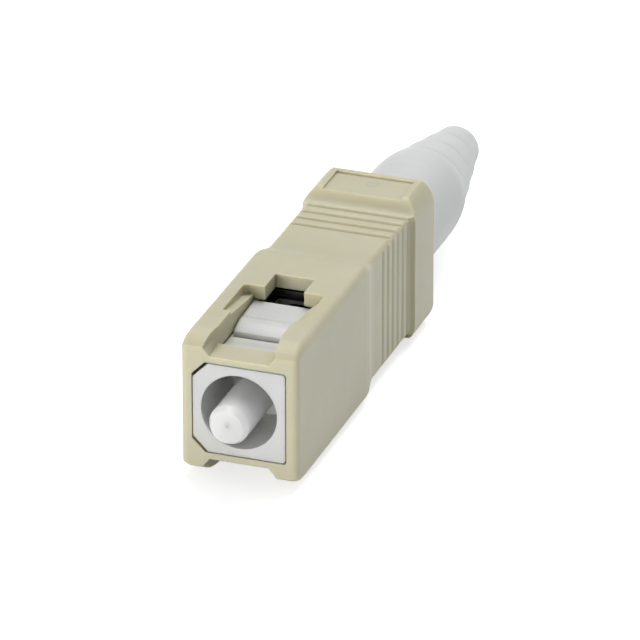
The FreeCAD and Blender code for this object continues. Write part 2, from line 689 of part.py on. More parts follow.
def make_ferrule_flange():
    """The metal flange behind the ferrule: disc, hub and tail, with two notches."""
    body = new_body("ferrule_flange", FLANGE_SEAT)
    pocket = f"(ferrule_length - tip_out - {FLANGE_SEAT})"
    sketch = sketch_on(body, "flange_profile", "XY")
    outline(sketch, [
        ("shank_diameter / 2", "0"),
        ("flange_diameter / 2 - flange_lead", "0"),
        ("flange_diameter / 2", "flange_lead"),
        ("flange_diameter / 2", "flange_thickness"),
        ("hub_diameter / 2", "flange_thickness"),
        ("hub_diameter / 2", "hub_end"),
        ("tail_diameter / 2", "hub_end"),
        ("tail_diameter / 2", "tail_end"),
        ("liner_diameter / 2", "tail_end"),
        ("liner_diameter / 2", "tail_end - liner_seat"),
        ("coated_fibre_hole / 2", "tail_end - liner_seat"),
        ("coated_fibre_hole / 2", pocket),
        ("shank_diameter / 2", pocket),
    ])
    turn(body, "Revolution", "flange_turned", sketch)
    sketch = sketch_on(body, "notch_section", "XZ")
    outline_pair(sketch, rectangle("flange_diameter / 2 - notch_depth", "flange_diameter",
                                   "-(spline_width / 2 + part_gap)",
                                   "spline_width / 2 + part_gap"), 0)
    body.Tip = extrude(body, "Pocket", "notches", sketch, "flange_thickness")
    return body


def make_spring():
    """The compression spring between the flange's hub and the rear body."""
    body = new_body("spring", f"{FLANGE_SEAT} + hub_end")
    sketch = sketch_on(body, "wire_section", "XY")
    place = "(spring_wire + part_gap) / 2"
    outline(sketch, [(f"spring_diameter / 2 + {math.cos(angle):.4f} * spring_wire / 2",
                      f"{place} + {math.sin(angle):.4f} * spring_wire / 2")
                     for angle in WIRE_CORNERS])
    coil = body.newObject("PartDesign::AdditiveHelix", "coil")
    coil.Profile = sketch
    coil.ReferenceAxis = (sketch, ["V_Axis"])
    coil.Mode = "height-turns-angle"
    coil.Angle = 0
    room = f"{REAR_BODY_SEAT} - ({FLANGE_SEAT} + hub_end) - spring_wire - part_gap"
    coil.setExpression("Height", linked(room))
    coil.setExpression("Turns", linked("spring_turns"))
    body.Tip = coil
    return body


def make_liner_tube():
    """The thin tube that leads the fibre through the spring."""
    body = new_body("liner_tube", f"{FLANGE_SEAT} + tail_end - liner_seat")
    sketch = sketch_on(body, "liner_section", "XZ")
    circle(sketch, "liner_diameter / 2")
    circle(sketch, "coated_fibre_hole / 2")
    body.Tip = extrude(body, "Pad", "liner", sketch, "liner_length")
    return body


def make_rear_body():
    """The metal stop: a square plug with snap lugs, a collar and a serrated post."""
    body = new_body("rear_body", REAR_BODY_SEAT)
    collar_end = "(plug_length + collar_length)"
    sketch = sketch_on(body, "plug_section", "XZ")
    outline(sketch, rounded_rectangle("plug_width", "plug_width", "socket_edge"))
    extrude(body, "Pad", "plug_block", sketch, "plug_length")
    sketch = sketch_on(body, "collar_section", "XZ", "plug_length")
    outline(sketch, frame_section("-part_gap / 2", "0"))
    extrude(body, "Pad", "collar", sketch, "collar_length")
    sketch = sketch_on(body, "post_section", "XZ", collar_end)
    circle(sketch, "post_diameter / 2")
    extrude(body, "Pad", "post", sketch, "post_length")

    sketch = sketch_on(body, "lug_profile", "XY")
    outline_pair(sketch, [
        ("plug_width / 2 - part_gap", "lug_place"),
        ("plug_width / 2", "lug_place"),
        ("plug_width / 2 + lug_rise", "lug_place + lug_ramp"),
        ("plug_width / 2 + lug_rise", "lug_place + lug_length"),
        ("plug_width / 2 - part_gap", "lug_place + lug_length"),
    ], 0)
    extrude(body, "Pad", "snap_lugs", sketch, "lug_height", symmetric=True)

    sketch = sketch_on(body, "serration_profile", "XY")
    for index in range(int(number("serration_count"))):
        middle = f"({collar_end} + ring_start + {index + 1} * serration_pitch)"
        outline(sketch, [
            ("post_diameter / 2", f"{middle} - serration_depth"),
            ("post_diameter / 2", f"{middle} + serration_depth"),
            ("post_diameter / 2 - serration_depth", middle),
        ])
    turn(body, "Groove", "serrations", sketch)
    sketch = sketch_on(body, "bore_circle", "XZ")
    circle(sketch, "post_bore / 2")
    body.Tip = extrude(body, "Pocket", "bore", sketch, f"{collar_end} + post_length")
    return body


def make_crimp_ring():
    """The stepped metal ring that is crimped over the post and the cable's jacket."""
    body = new_body("crimp_ring", f"{REAR_BODY_SEAT} + plug_length + collar_length + ring_start")
    inner = "(post_diameter / 2 + ring_gap)"
    cone_end = f"({RING_GRIP} + ring_cone_length)"
    sketch = sketch_on(body, "ring_profile", "XY")
    outline(sketch, [
        (inner, "0"),
        (f"{inner} + ring_wall", "0"),
        (f"{inner} + ring_wall", RING_GRIP),
        ("cable_bore / 2 + ring_wall", cone_end),
        ("cable_bore / 2 + ring_wall", f"{cone_end} + ring_small_length"),
        ("cable_bore / 2", f"{cone_end} + ring_small_length"),
        ("cable_bore / 2", cone_end),
        (inner, RING_GRIP),
    ])
    body.Tip = turn(body, "Revolution", "ring_turned", sketch)
    return body


def make_boot():
    """The flexible boot: a neck in the waist, a plain body and a stepped tip."""
    body = new_body("boot", BOOT_SEAT)
    ring_inner = "(post_diameter / 2 + ring_gap + ring_wall + ring_gap)"
    small_inner = "(cable_bore / 2 + ring_wall + ring_gap)"
    ring_end = f"(ring_start - part_gap + {RING_GRIP})"
    cone_end = f"({ring_end} + ring_cone_length)"
    small_end = f"({cone_end} + ring_small_length + part_gap)"
    wide, tip = "boot_diameter / 2", "boot_tip_diameter / 2"
    shoulder_fall = f"({wide} - boot_ring_diameter / 2)"
    shoulder_end = "(boot_body_end + boot_shoulder_length)"
    tip_start = "(boot_length - boot_tip_bevel)"
    profile = [
        (ring_inner, "0"),
        ("boot_neck_diameter / 2", "0"),
        ("boot_neck_diameter / 2", "boot_neck_length - boot_lead"),
        (wide, "boot_neck_length"),
        (wide, "boot_body_end", rounded_lead(shoulder_fall, "boot_shoulder_length"), "left"),
        ("boot_ring_diameter / 2", shoulder_end),
    ]
    count = int(number("boot_ring_count"))
    run = f"({tip_start} - {shoulder_end})"
    fall = f"(boot_ring_diameter / 2 - {tip})"
    for index in range(count):
        radii = [f"(boot_ring_diameter / 2 - {fall} * {step} / {count})"
                 for step in (index, index + 1)]
        ends = [f"({shoulder_end} + {run} * {step} / {count})" for step in (index, index + 1)]
        ring_start_radius = f"({radii[0]} - boot_ring_step)"
        groove_end = f"({ends[0]} + boot_groove_length)"
        profile += [
            (f"{ring_start_radius} - boot_groove_depth", ends[0]),
            (f"{ring_start_radius} - boot_groove_depth", groove_end),
            (ring_start_radius, groove_end),
        ]
        if index < count - 1:
            profile.append((radii[1], ends[1]))
    profile += [
        (tip, tip_start),
        (f"{tip} - boot_tip_bevel", "boot_length"),
        ("cable_bore / 2", "boot_length"),
        ("cable_bore / 2", small_end),
        (small_inner, small_end),
        (small_inner, cone_end),
        (ring_inner, ring_end),
    ]
    sketch = sketch_on(body, "boot_profile", "XY")
    outline(sketch, profile)
    body.Tip = turn(body, "Revolution", "boot_turned", sketch)
    return body


# Seats along the axis, measured from the nose.
FLANGE_SEAT = "(sleeve_depth + seat_wall)"
REAR_BODY_SEAT = "(frame_length - plug_length)"
BOOT_SEAT = f"({REAR_BODY_SEAT} + plug_length + collar_length + part_gap)"
RING_GRIP = "(post_length - ring_start + part_gap)"    # the crimp ring's run over the post

bodies = [
    make_outer_housing(),
    make_plug_frame(),
    make_ferrule(),
    make_ferrule_flange(),
    make_spring(),
    make_liner_tube(),
    make_rear_body(),
    make_crimp_ring(),
    make_boot(),
]
doc.recompute()

for item in doc.Objects:
    if {"Invalid", "Error"} & set(item.State):
        raise RuntimeError(f"{item.Name} failed: {item.State}")
    base = getattr(item, "BaseFeature", None)
    if base is not None and hasattr(item, "Refine"):
        change = item.Shape.Volume - base.Shape.Volume
        if abs(change) < 1e-6:
            raise RuntimeError(f"{item.Name} changes nothing")

os.makedirs("parts", exist_ok=True)
for body in bodies:
    shape = body.Shape
    if shape.isNull() or not shape.isValid() or len(shape.Solids) != 1:
        raise RuntimeError(f"{body.Label} is not one valid solid")
    box = shape.BoundBox
    shape.exportStep(f"parts/{body.Label}.step")
    print(f"{body.Label}: {shape.Volume:.2f} mm3, y {box.YMin:.2f} to {box.YMax:.2f}, "
          f"x {box.XMin:.2f} to {box.XMax:.2f}, z {box.ZMin:.2f} to {box.ZMax:.2f}")
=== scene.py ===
# %% [markdown]
# # A square push-pull fibre plug
# This lesson dresses a small fibre-optic plug for its portrait. The plug has a
# beige coupling housing, a white frame inside it, a white ceramic ferrule that
# carries the glass fibre, and a soft grey boot at the rear.
# All of these pieces come ready-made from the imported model, so most of the lesson
# is about finishes: what moulded plastic, ceramic, plated metal and soft rubber
# look like from close up, and how to say that with shader nodes.

# %% [markdown]
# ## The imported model
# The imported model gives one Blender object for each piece, in metres. They are
# dressed here, but never moved or changed. The plug's own sizes are written in
# millimetres, times MM, and those of the table and the lamps in metres.

import math

import bmesh
import bpy
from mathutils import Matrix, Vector


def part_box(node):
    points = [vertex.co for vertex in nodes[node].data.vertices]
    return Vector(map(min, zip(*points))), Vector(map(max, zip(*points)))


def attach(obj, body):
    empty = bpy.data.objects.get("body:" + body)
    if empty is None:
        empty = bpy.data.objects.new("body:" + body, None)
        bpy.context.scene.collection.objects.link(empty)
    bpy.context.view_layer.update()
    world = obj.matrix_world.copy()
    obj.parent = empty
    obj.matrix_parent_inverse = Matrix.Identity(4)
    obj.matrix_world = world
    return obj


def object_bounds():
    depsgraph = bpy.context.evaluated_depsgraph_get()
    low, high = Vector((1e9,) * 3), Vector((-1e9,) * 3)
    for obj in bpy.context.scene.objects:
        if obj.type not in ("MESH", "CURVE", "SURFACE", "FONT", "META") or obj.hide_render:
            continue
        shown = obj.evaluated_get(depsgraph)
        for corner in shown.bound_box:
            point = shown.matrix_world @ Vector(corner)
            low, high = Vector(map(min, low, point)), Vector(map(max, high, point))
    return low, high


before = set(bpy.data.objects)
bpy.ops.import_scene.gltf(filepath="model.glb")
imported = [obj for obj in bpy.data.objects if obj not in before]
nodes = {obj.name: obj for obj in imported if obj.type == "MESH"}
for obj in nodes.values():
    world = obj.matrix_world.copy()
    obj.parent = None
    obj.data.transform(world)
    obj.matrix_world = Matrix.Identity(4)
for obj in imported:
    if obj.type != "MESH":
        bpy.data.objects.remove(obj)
cad_box = [list(corner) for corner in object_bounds()]
MM = 0.001
print("nodes:", sorted(nodes))
print("box in mm:", [[round(value / MM, 2) for value in corner] for corner in cad_box])

# %% [markdown]
# ## Small helpers for node trees
# A node group is a little machine with named inputs and outputs. It is built
# once and then placed in each material with its own values, so the same wear or
# the same grain can look different on two plastics. These helpers only shorten
# the lines that make groups, nodes and links.

# %% Helpers for groups and nodes
def open_group(name, inputs, outputs):
    """A shader node group with the named sockets, and its two end nodes."""
    group = bpy.data.node_groups.new(name, "ShaderNodeTree")
    for label, value in inputs.items():
        socket = group.interface.new_socket(label, in_out="INPUT", socket_type="NodeSocketFloat")
        socket.default_value = value
    for label, kind in outputs.items():
        group.interface.new_socket(label, in_out="OUTPUT", socket_type="NodeSocket" + kind)
    return group, group.nodes.new("NodeGroupInput"), group.nodes.new("NodeGroupOutput")


def add(tree, kind, values=None, **settings):
    """A shader node in this tree, with its settings and its sockets' plain values."""
    node = tree.nodes.new("ShaderNode" + kind)
    for setting, value in settings.items():
        setattr(node, setting, value)
    for label, value in (values or {}).items():
        node.inputs[label].default_value = value
    return node


def maths(tree, operation, first, second=None):
    """A Math node between sockets or plain numbers; gives its result socket."""
    node = add(tree, "Math", operation=operation)
    for place, value in enumerate((first, second)):
        if isinstance(value, (int, float)):
            node.inputs[place].default_value = value
        elif value is not None:
            tree.links.new(value, node.inputs[place])
    return node.outputs[0]


def spread(tree, value, low, high, to_low=0.0, to_high=1.0):
    """A Map Range node that stretches low..high to to_low..to_high, and clamps."""
    node = add(tree, "MapRange", {"From Min": low, "From Max": high,
                                  "To Min": to_low, "To Max": to_high})
    tree.links.new(value, node.inputs["Value"])
    return node.outputs["Result"]


NOISE_RANGE = (0.3, 0.7)    # nearly all of a noise's values lie between these
print("helpers ready")

# %% [markdown]
# ## Effect one: softened, rubbed and highlit edges
# No moulded or turned edge is truly sharp. The Bevel node looks round the point
# and gives a normal that rolls over the edge, which catches a thin highlight.
# Where that normal and the plain one disagree, there is an edge, so their dot
# product also makes a mask for rubbed, slightly paler plastic, which also works as a
# painted highlight: 1 on a flat face, and less the further the normal has rolled
# over. Modelled bevels would do the same, but they would cost thousands of faces.

# %% Group: soft edges
ROLLED, FLAT = 0.86, 0.999    # the dot product on an edge and beside it


def make_soft_edges():
    group, start, end = open_group(
        "soft_edges", {"Radius": 0.06 * MM}, {"Normal": "Vector", "Edge": "Float"})
    bevel = add(group, "Bevel", samples=8)
    group.links.new(start.outputs["Radius"], bevel.inputs["Radius"])
    flat = add(group, "NewGeometry")
    dot = add(group, "VectorMath", operation="DOT_PRODUCT")
    group.links.new(bevel.outputs["Normal"], dot.inputs[0])
    group.links.new(flat.outputs["Normal"], dot.inputs[1])
    group.links.new(bevel.outputs["Normal"], end.inputs["Normal"])
    group.links.new(spread(group, dot.outputs["Value"], ROLLED, FLAT, 1.0, 0.0),
                    end.inputs["Edge"])
    return group


soft_edges = make_soft_edges()
print("group:", soft_edges.name)

# %% [markdown]
# ## Effect two: the grain of the mould
# A mould's steel is lightly spark-eroded, and it prints a fine grain on every
# part. Two noises make it: a very fine one for the bumps and a broad, faint one
# for the slow change of tone that flowing plastic leaves. Sizes are in grains
# per millimetre, because the texture is measured in the model's own metres.

# %% Group: moulded grain
def make_moulded_grain():
    group, start, end = open_group(
        "moulded_grain", {"Grains per mm": 14.0, "Clouds per mm": 0.25},
        {"Height": "Float", "Tone": "Float"})
    place = add(group, "TexCoord")
    noises = (("Grains per mm", "Height", 3.0), ("Clouds per mm", "Tone", 2.0))
    for source, target, detail in noises:
        noise = add(group, "TexNoise", {"Detail": detail, "Roughness": 0.55})
        group.links.new(place.outputs["Object"], noise.inputs["Vector"])
        group.links.new(maths(group, "MULTIPLY", start.outputs[source], 1 / MM),
                        noise.inputs["Scale"])
        group.links.new(spread(group, noise.outputs["Fac"], *NOISE_RANGE), end.inputs[target])
    return group


moulded_grain = make_moulded_grain()
print("group:", moulded_grain.name)

# %% [markdown]
# ## Effect three: flow lines
# Molten plastic that runs into a thin slide leaves faint streaks across its way,
# best seen on the flat latch under the window. They lie one behind the other
# along the plug, so the noise reads mostly the Y coordinate and hardly any of the
# others.

# %% Group: flow lines
ALONG_PLUG = (0.05, 1.0, 0.05)    # how much each coordinate counts
STREAKS = (0.48, 0.68)            # only the higher part of the noise is a streak


def make_flow_lines():
    group, start, end = open_group("flow_lines", {"Lines per mm": 3.0}, {"Tone": "Float"})
    place = add(group, "TexCoord")
    drawn = add(group, "VectorMath", operation="MULTIPLY")
    group.links.new(place.outputs["Object"], drawn.inputs[0])
    drawn.inputs[1].default_value = ALONG_PLUG
    noise = add(group, "TexNoise", {"Detail": 4.0, "Roughness": 0.6})
    group.links.new(drawn.outputs["Vector"], noise.inputs["Vector"])
    group.links.new(maths(group, "MULTIPLY", start.outputs["Lines per mm"], 1 / MM),
                    noise.inputs["Scale"])
    group.links.new(spread(group, noise.outputs["Fac"], *STREAKS), end.inputs["Tone"])
    return group


flow_lines = make_flow_lines()
print("group:", flow_lines.name)

# %% [markdown]
# ## Effect four: painted shade in recesses
# Corners and pockets get less light, and here that shade is painted into the
# colour, a touch deeper in tone. Ambient Occlusion measures how closed-in a point is, and turned
# round it is a mask for exactly those places.

# %% Group: painted recess shade
CLOSED_IN, OPEN = 0.35, 0.95    # the share of open sky in a corner and on a face


def make_recess_shade():
    group, start, end = open_group("painted_recess_shade", {"Reach": 1.5 * MM}, {"Recess": "Float"})
    closed = add(group, "AmbientOcclusion", samples=8)
    group.links.new(start.outputs["Reach"], closed.inputs["Distance"])
    group.links.new(spread(group, closed.outputs["AO"], CLOSED_IN, OPEN, 1.0, 0.0),
                    end.inputs["Recess"])
    return group


painted_recess_shade = make_recess_shade()
print("group:", painted_recess_shade.name)

# %% [markdown]
# ## Effect five: marks of the lathe
# Ferrules, flanges and crimp rings are turned or ground about the optical axis,
# which is the Y axis here. A noise that is read only by the place along Y and by
# the distance from the axis gives fine rings round the piece.

# %% Group: turning marks
def make_turning_marks():
    group, start, end = open_group(
        "turning_marks", {"Rings per mm": 25.0}, {"Height": "Float"})
    place = add(group, "TexCoord")
    parts = add(group, "SeparateXYZ")
    group.links.new(place.outputs["Object"], parts.inputs["Vector"])
    across = maths(group, "MULTIPLY", parts.outputs["X"], parts.outputs["X"])
    upward = maths(group, "MULTIPLY", parts.outputs["Z"], parts.outputs["Z"])
    radius = maths(group, "SQRT", maths(group, "ADD", across, upward))
    rings = add(group, "CombineXYZ")
    group.links.new(parts.outputs["Y"], rings.inputs["X"])
    group.links.new(radius, rings.inputs["Y"])
    noise = add(group, "TexNoise", {"Detail": 2.0})
    group.links.new(rings.outputs["Vector"], noise.inputs["Vector"])
    group.links.new(maths(group, "MULTIPLY", start.outputs["Rings per mm"], 1 / MM),
                    noise.inputs["Scale"])
    group.links.new(spread(group, noise.outputs["Fac"], *NOISE_RANGE), end.inputs["Height"])
    return group


turning_marks = make_turning_marks()
print("group:", turning_marks.name)

# %% [markdown]
# ## A recipe that every finish shares
# Each material starts from a Principled shader. A moulded piece mixes its base
# colour from a plain one, a cloudier tone, a painted deeper shade for recesses and a
# paler one for rubbed edges, which is also a painted highlight. A turned piece needs only the
# plain colour and the painted recess shade. The grain or the turning marks drive the bump, and
# the bump sits on the softened edge normal. Metallic, specular and subsurface values are the
# same all over, so they are set on the shader itself.
#
# Pale plastic, rubber and ceramic let light in: it scatters under the surface and
# comes out a little further on, so edges and shadows turn soft and warm. How far
# it gets is a reach for red, green and blue, times a scale.

# %% Helpers for finishes
def placed(tree, group, **values):
    """The group as a node in this material, with its own values."""
    node = tree.nodes.new("ShaderNodeGroup")
    node.node_tree = group
    for label, value in values.items():
        node.inputs[label.replace("_", " ")].default_value = value
    return node


COLOUR_A, COLOUR_B, MIXED = 6, 7, 2    # the Mix node's colour sockets, by number


def blended(tree, mask, amount, under, over):
    """Mixes one colour over another, by a mask times an amount."""
    mix = add(tree, "Mix", data_type="RGBA")
    tree.links.new(maths(tree, "MULTIPLY", mask, amount), mix.inputs["Factor"])
    for place, colour in ((COLOUR_A, under), (COLOUR_B, over)):
        if isinstance(colour, tuple):
            mix.inputs[place].default_value = (*colour, 1.0)
        else:
            tree.links.new(colour, mix.inputs[place])
    return mix.outputs[MIXED]


def scattering(reach, scale):
    """The shader values of a stuff that lets light in."""
    return {"Subsurface Weight": 1.0, "Subsurface Radius": reach, "Subsurface Scale": scale}


def new_finish(name, shader_values):
    """A material with a Principled shader, and that shader."""
    material = bpy.data.materials.new(name)
    material.use_nodes = True
    tree = material.node_tree
    shader = tree.nodes["Principled BSDF"]
    for label, value in shader_values.items():
        shader.inputs[label].default_value = value
    return material, tree, shader


def bumped(tree, shader, height, normal, strength, depth):
    """Feeds the shader's normal from a bump over the softened edges."""
    bump = add(tree, "Bump", {"Strength": strength, "Distance": depth})
    tree.links.new(height, bump.inputs["Height"])
    tree.links.new(normal, bump.inputs["Normal"])
    tree.links.new(bump.outputs["Normal"], shader.inputs["Normal"])


print("recipe ready")

# %% [markdown]
# ## The recipe for moulded pieces
# Three kinds of piece come out of a mould here: the beige housing, the white
# frame and the soft boot. They could be three separate node trees, but they only
# differ in colours and strengths, so one function makes them all.
#
# One step is special. Where a recess opens into a closed chamber, hardly any
# light comes back out, so past a given place along Y the recess mask also blends
# in a painted shade as dark as the chamber.

# %% Recipe for moulded pieces
PLASTIC_SCALE = 0.5 * MM    # times each colour's reach, how far its light gets
GRAIN_BUMP, GRAIN_DEPTH = 0.35, 0.006 * MM
# painted shade: the colour that recesses behind the latch shoulder are painted
PAINTED_CHAMBER_SHADE = (0.02, 0.015, 0.013)
CHAMBER_FADE = 0.1 * MM    # the way over which the dark comes in


def behind(tree, mask, place):
    """The mask, kept only where the point lies further back than a place along Y."""
    parts = add(tree, "SeparateXYZ")
    tree.links.new(add(tree, "TexCoord").outputs["Object"], parts.inputs["Vector"])
    far = spread(tree, parts.outputs["Y"], place, place + CHAMBER_FADE)
    return maths(tree, "MULTIPLY", mask, far)


def moulded_finish(name, plain, cloudy, deep, rubbed_and_highlit, clouds, lines, recesses, rubbing_and_highlight,
                   roughness, grain, edge, reach, painted_shade_from=None):
    """Plastic or rubber out of a mould: grain, clouds, painted shade in recesses, and paler
    edges, both rubbed and a painted highlight.
    Recesses further back than the given place along Y get a painted shade as dark as the chamber
    they open into."""
    material, tree, shader = new_finish(name, {
        "IOR": 1.49, "Specular IOR Level": 0.4, **scattering(reach, PLASTIC_SCALE)})
    edges = placed(tree, soft_edges, Radius=edge)
    texture = placed(tree, moulded_grain, Grains_per_mm=grain)
    flow = placed(tree, flow_lines)
    recess = placed(tree, painted_recess_shade)
    colour = blended(tree, texture.outputs["Tone"], clouds, plain, cloudy)
    colour = blended(tree, flow.outputs["Tone"], lines, colour, deep)
    # painted shade: recesses take the deeper colour
    colour = blended(tree, recess.outputs["Recess"], recesses, colour, deep)
    if painted_shade_from is not None:
        # painted shade: behind the given place, recesses turn as dark as the chamber
        painted_chamber_mask = behind(tree, recess.outputs["Recess"], painted_shade_from)
        colour = blended(tree, painted_chamber_mask, 1.0, colour, PAINTED_CHAMBER_SHADE)
    # wear and painted highlight: edges turn paler
    colour = blended(tree, edges.outputs["Edge"], rubbing_and_highlight, colour, rubbed_and_highlit)
    tree.links.new(colour, shader.inputs["Base Color"])
    tree.links.new(spread(tree, texture.outputs["Height"], 0.0, 1.0, *roughness),
                   shader.inputs["Roughness"])
    bumped(tree, shader, texture.outputs["Height"], edges.outputs["Normal"],
           GRAIN_BUMP, GRAIN_DEPTH)
    return material


print("moulded recipe ready")

# %% [markdown]
# ## Beige plastic
# The coupling housing is moulded with a satin surface, so that fingers can grip
# it. One flat colour would look like paint. A real moulding clouds slowly and
# rubs pale on its edges; here the paler edges are also a painted highlight, and
# its corners get a browner painted shade. Beige also lets red light
# further in than blue, which warms its edges.
#
# A piece that is thinner than the light's reach has no inside to scatter in, so
# it takes the same beige with a reach of nothing.

# %% Beige plastic
BEIGE = {
    "plain": (0.63, 0.60, 0.45), "cloudy": (0.59, 0.56, 0.415),
    "deep": (0.43, 0.395, 0.235), "rubbed_and_highlit": (0.68, 0.65, 0.48),
    "clouds": 0.55, "lines": 0.05, "recesses": 0.6, "rubbing_and_highlight": 0.6,
    "roughness": (0.38, 0.52), "grain": 14.0, "edge": 0.09 * MM,
}
beige_plastic = moulded_finish("beige_plastic", **BEIGE, reach=(1.0, 0.8, 0.45))
thin_beige = moulded_finish("thin_beige", **BEIGE, reach=(0.0, 0.0, 0.0))
print("finishes:", beige_plastic.name, "and", thin_beige.name)

# %% [markdown]
# ## White plastic
# The frame slides in the housing, so it is moulded smoother, with a finer grain
# and more gloss, and the flow lines show best on its latch. Behind the latch's
# shoulder a slot opens into the chamber that holds the spring. Its walls get a
# painted shade, as dark as the chamber, from there on.

# %% White plastic
LATCH_SHOULDER = 7.95 * MM    # a hair behind the shoulder's own face

white_plastic = moulded_finish(
    "white_plastic",
    plain=(0.71, 0.71, 0.72), cloudy=(0.67, 0.67, 0.68),
    deep=(0.63, 0.63, 0.575), rubbed_and_highlit=(0.79, 0.79, 0.80),
    clouds=0.5, lines=0.7, recesses=0.6, rubbing_and_highlight=0.5,
    roughness=(0.24, 0.34), grain=20.0, edge=0.06 * MM,
    reach=(1.0, 1.0, 1.0), painted_shade_from=LATCH_SHOULDER)
print("finish:", white_plastic.name)

# %% [markdown]
# ## Boot rubber
# The boot bends with the cable, so it is a soft rubber with a dull shine. Its
# recesses get a much deeper painted shade than the frame's, because the thin grooves
# between its steps are all that tells the eye it is stepped.

# %% Boot rubber
boot_rubber = moulded_finish(
    "boot_rubber",
    plain=(0.75, 0.75, 0.76), cloudy=(0.71, 0.71, 0.72),
    deep=(0.48, 0.48, 0.49), rubbed_and_highlit=(0.79, 0.79, 0.80),
    clouds=0.6, lines=0.1, recesses=0.5, rubbing_and_highlight=0.4,
    roughness=(0.42, 0.55), grain=22.0, edge=0.10 * MM,
    reach=(1.0, 1.0, 1.0))
print("finish:", boot_rubber.name)

# %% [markdown]
# ## Liner plastic
# A thin black tube guides the fibre through the spring. It is drawn, not moulded,
# but it hardly shows, so the moulded recipe with dark colours is near enough.
# Its black is also a painted shade for the chamber seen between the spring's coils.
# Black plastic swallows light, and its reach is short.

# %% Liner plastic
liner_plastic = moulded_finish(
    "liner_plastic",
    plain=(0.06, 0.06, 0.06), cloudy=(0.05, 0.05, 0.05),
    deep=(0.02, 0.02, 0.02), rubbed_and_highlit=(0.12, 0.12, 0.12),
    clouds=0.4, lines=0.2, recesses=0.4, rubbing_and_highlight=0.4,
    roughness=(0.3, 0.4), grain=20.0, edge=0.03 * MM,
    reach=(0.1, 0.1, 0.1))
print("finish:", liner_plastic.name)

# %% [markdown]
# ## The recipe for turned pieces
# Ceramic, plated brass and blackened steel look nothing alike, but all of them
# are made on a lathe or a grinder. The same fine rings drive their roughness and
# their bump, each with its own depth. What sets them apart is a few values of the
# shader, so those are handed in.

# %% Recipe for turned pieces
RECESS_AMOUNT = 0.6
TURNED_BUMP = 0.3


def turned_finish(name, plain, deep, roughness, rings, depth, edge, values):
    """A piece made on a lathe or a grinder, with fine rings round its axis."""
    material, tree, shader = new_finish(name, values)
    edges = placed(tree, soft_edges, Radius=edge)
    marks = placed(tree, turning_marks, Rings_per_mm=rings)
    recess = placed(tree, painted_recess_shade)
    # painted shade: recesses take the deeper colour (paler on the ceramic, a painted glow)
    colour = blended(tree, recess.outputs["Recess"], RECESS_AMOUNT, plain, deep)
    tree.links.new(colour, shader.inputs["Base Color"])
    tree.links.new(spread(tree, marks.outputs["Height"], 0.0, 1.0, *roughness),
                   shader.inputs["Roughness"])
    bumped(tree, shader, marks.outputs["Height"], edges.outputs["Normal"], TURNED_BUMP, depth)
    return material


print("turned recipe ready")

# %% [markdown]
# ## Ceramic
# The ferrule is zirconia, ground to a soft shine with rings too fine to see one
# by one. Light gets several millimetres into it and spreads along it, so it glows
# from tip to root. Without that it would look like painted metal. Its recess
# shade is paler than its plain colour, because light also gathers at its root.

# %% Ceramic
ceramic = turned_finish(
    "ceramic", plain=(0.80, 0.80, 0.81), deep=(0.86, 0.86, 0.86),
    roughness=(0.16, 0.26), rings=40.0, depth=0.001 * MM, edge=0.12 * MM,
    values=scattering((1.0, 1.0, 1.0), 4.0 * MM))
print("finish:", ceramic.name)

# %% [markdown]
# ## Nickel and blackened steel
# The rear body and the crimp ring are turned and nickel-plated. Metallic 1 lets
# the colour tint what they mirror, and the rings keep them from looking like
# chrome. The flange and the spring wear a black oxide, and their near-black is also
# a painted shade for the dark inside the chamber behind the frame's slot. A metallic black would
# mirror the light tent through the frame's windows, so this one is a plain dark
# coat with a weak shine.

# %% Nickel and blackened steel
nickel = turned_finish(
    "nickel", plain=(0.62, 0.61, 0.58), deep=(0.2, 0.19, 0.17),
    roughness=(0.22, 0.36), rings=18.0, depth=0.004 * MM, edge=0.04 * MM,
    values={"Metallic": 1.0})
# painted shade: this near-black also stands in for the chamber's dark
dark_steel = turned_finish(
    "dark_steel", plain=(0.02, 0.02, 0.022), deep=(0.006, 0.006, 0.006),
    roughness=(0.5, 0.65), rings=30.0, depth=0.002 * MM, edge=0.05 * MM,
    values={"Specular IOR Level": 0.1})
print("finishes:", nickel.name, "and", dark_steel.name)

# %% [markdown]
# ## Dressing the pieces
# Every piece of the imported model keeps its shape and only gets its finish. The
# table below could be a line of code for each piece, but as a table it reads like
# a parts list, and one loop does the dressing.

# %% Dress every piece
WEARS = {
    "outer_housing": beige_plastic,
    "plug_frame": white_plastic,
    "ferrule": ceramic,
    "ferrule_flange": dark_steel,
    "spring": dark_steel,
    "liner_tube": liner_plastic,
    "rear_body": nickel,
    "crimp_ring": nickel,
    "boot": boot_rubber,
}
for node, material in WEARS.items():
    slots = nodes[node].data.materials
    slots.clear()
    slots.append(material)
    print(f"{node} wears {material.name}")

# %% [markdown]
# ## The ejector's mark: its mesh
# Pins push a moulding out of its mould, and each leaves a faint round witness
# line. A texture could draw it, but a real ring also catches the light. It is
# made by carrying a half-round section round a circle and joining each section
# to the next.

# %% A ring's mesh
def ring_mesh(name, radius, wire, turns=64, sides=8):
    """A ring with a flattened half-round section, standing on the XY plane."""
    mesh = bpy.data.meshes.new(name)
    shape = bmesh.new()
    loops = []
    for step in range(turns):
        angle = 2 * math.pi * step / turns
        outward = Vector((math.cos(angle), math.sin(angle), 0))
        section = []
        for side in range(sides):
            lean = math.pi * side / (sides - 1)
            point = outward * (radius + wire * math.cos(lean))
            point.z = wire / 2 * math.sin(lean)
            section.append(shape.verts.new(point))
        loops.append(section)
    for here, there in zip(loops, loops[1:] + loops[:1]):
        for side in range(sides - 1):
            shape.faces.new((here[side], there[side], there[side + 1], here[side + 1]))
    for face in shape.faces:
        face.smooth = True
    bmesh.ops.recalc_face_normals(shape, faces=shape.faces)
    shape.to_mesh(mesh)
    shape.free()
    return mesh


print("ring ready")

